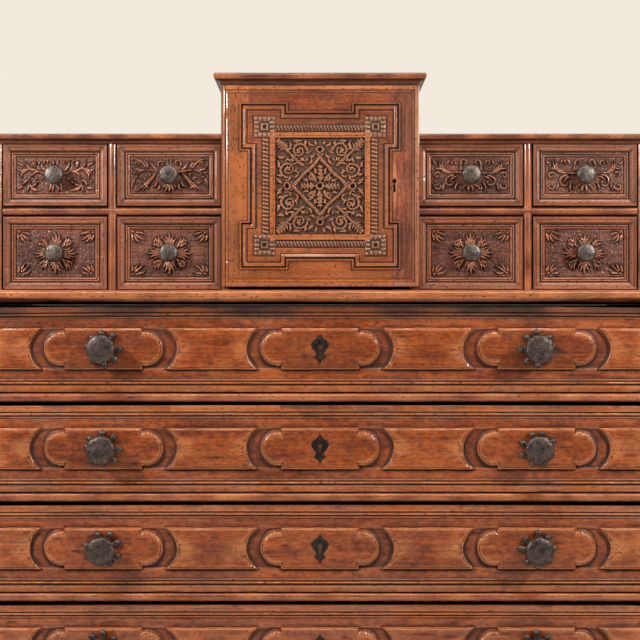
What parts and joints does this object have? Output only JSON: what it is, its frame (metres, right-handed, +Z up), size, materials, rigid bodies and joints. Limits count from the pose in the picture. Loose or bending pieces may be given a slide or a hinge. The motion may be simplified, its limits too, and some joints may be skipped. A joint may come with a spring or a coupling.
{
  "type": "commode",
  "caption": "Walnut chest of long drawers with lobed raised tablets, under a set-back stage of small carved drawers flanking an eared cupboard door.",
  "frame": {"origin": "middle of the footprint at floor level, knobs included", "axes": "+X to the right as seen from the front, +Y to the back, +Z up"},
  "size_m": [1.4706, 0.6288, 1.42],
  "materials": {
    "walnut": "waxed",
    "secondary_wood": "bare",
    "iron": "forged, darkened"
  },
  "bodies": {
    "case": {"case_left_side": "walnut", "case_right_side": "walnut", "case_bottom": "walnut", "case_rail_1": "walnut", "case_rail_2": "walnut", "case_rail_3": "walnut", "case_top": "walnut", "plinth": "walnut", "cabinet_left_side": "walnut", "cabinet_right_side": "walnut", "cabinet_cornice": "walnut", "bank_left_end": "walnut", "bank_left_top": "walnut", "bank_left_divider": "walnut", "bank_right_end": "walnut", "bank_right_top": "walnut", "bank_right_divider": "walnut", "case_back": "secondary_wood", "upper_back": "secondary_wood"},
    "long_drawer_1": {"long_drawer_1_front": "walnut", "long_drawer_1_tray": "secondary_wood", "long_drawer_1_lock": "iron", "long_drawer_1_knob_left": "iron", "long_drawer_1_knob_right": "iron"},
    "long_drawer_2": {"long_drawer_2_front": "walnut", "long_drawer_2_tray": "secondary_wood", "long_drawer_2_lock": "iron", "long_drawer_2_knob_left": "iron", "long_drawer_2_knob_right": "iron"},
    "long_drawer_3": {"long_drawer_3_front": "walnut", "long_drawer_3_tray": "secondary_wood", "long_drawer_3_lock": "iron", "long_drawer_3_knob_left": "iron", "long_drawer_3_knob_right": "iron"},
    "long_drawer_4": {"long_drawer_4_front": "walnut", "long_drawer_4_tray": "secondary_wood", "long_drawer_4_lock": "iron", "long_drawer_4_knob_left": "iron", "long_drawer_4_knob_right": "iron"},
    "upper_drawer_1": {"upper_drawer_1": "walnut", "upper_drawer_1_knob": "iron"},
    "upper_drawer_2": {"upper_drawer_2": "walnut", "upper_drawer_2_knob": "iron"},
    "upper_drawer_3": {"upper_drawer_3": "walnut", "upper_drawer_3_knob": "iron"},
    "upper_drawer_4": {"upper_drawer_4": "walnut", "upper_drawer_4_knob": "iron"},
    "lower_drawer_1": {"lower_drawer_1": "walnut", "lower_drawer_1_knob": "iron"},
    "lower_drawer_2": {"lower_drawer_2": "walnut", "lower_drawer_2_knob": "iron"},
    "lower_drawer_3": {"lower_drawer_3": "walnut", "lower_drawer_3_knob": "iron"},
    "lower_drawer_4": {"lower_drawer_4": "walnut", "lower_drawer_4_knob": "iron"},
    "door": {"door_frame": "walnut", "door_panel": "walnut", "door_lock": "iron", "door_pivot_upper": "iron", "door_pivot_lower": "iron"}
  },
  "joints": [
    {"name": "long_drawer_1_slide", "type": "slide", "parent": "case", "child": "long_drawer_1", "axis": [0, -1, 0], "range_m": [0, 0.4]},
    {"name": "long_drawer_2_slide", "type": "slide", "parent": "case", "child": "long_drawer_2", "axis": [0, -1, 0], "range_m": [0, 0.4]},
    {"name": "long_drawer_3_slide", "type": "slide", "parent": "case", "child": "long_drawer_3", "axis": [0, -1, 0], "range_m": [0, 0.4]},
    {"name": "long_drawer_4_slide", "type": "slide", "parent": "case", "child": "long_drawer_4", "axis": [0, -1, 0], "range_m": [0, 0.4]},
    {"name": "upper_drawer_1_slide", "type": "slide", "parent": "case", "child": "upper_drawer_1", "axis": [0, -1, 0], "range_m": [0, 0.26]},
    {"name": "upper_drawer_2_slide", "type": "slide", "parent": "case", "child": "upper_drawer_2", "axis": [0, -1, 0], "range_m": [0, 0.26]},
    {"name": "upper_drawer_3_slide", "type": "slide", "parent": "case", "child": "upper_drawer_3", "axis": [0, -1, 0], "range_m": [0, 0.26]},
    {"name": "upper_drawer_4_slide", "type": "slide", "parent": "case", "child": "upper_drawer_4", "axis": [0, -1, 0], "range_m": [0, 0.26]},
    {"name": "lower_drawer_1_slide", "type": "slide", "parent": "case", "child": "lower_drawer_1", "axis": [0, -1, 0], "range_m": [0, 0.26]},
    {"name": "lower_drawer_2_slide", "type": "slide", "parent": "case", "child": "lower_drawer_2", "axis": [0, -1, 0], "range_m": [0, 0.26]},
    {"name": "lower_drawer_3_slide", "type": "slide", "parent": "case", "child": "lower_drawer_3", "axis": [0, -1, 0], "range_m": [0, 0.26]},
    {"name": "lower_drawer_4_slide", "type": "slide", "parent": "case", "child": "lower_drawer_4", "axis": [0, -1, 0], "range_m": [0, 0.26]},
    {"name": "door_hinge", "type": "hinge", "parent": "case", "child": "door", "pos_m": [-0.198, -0.0966, 1.1836], "axis": [0, 0, -1], "range_deg": [0, 90]}
  ]
}
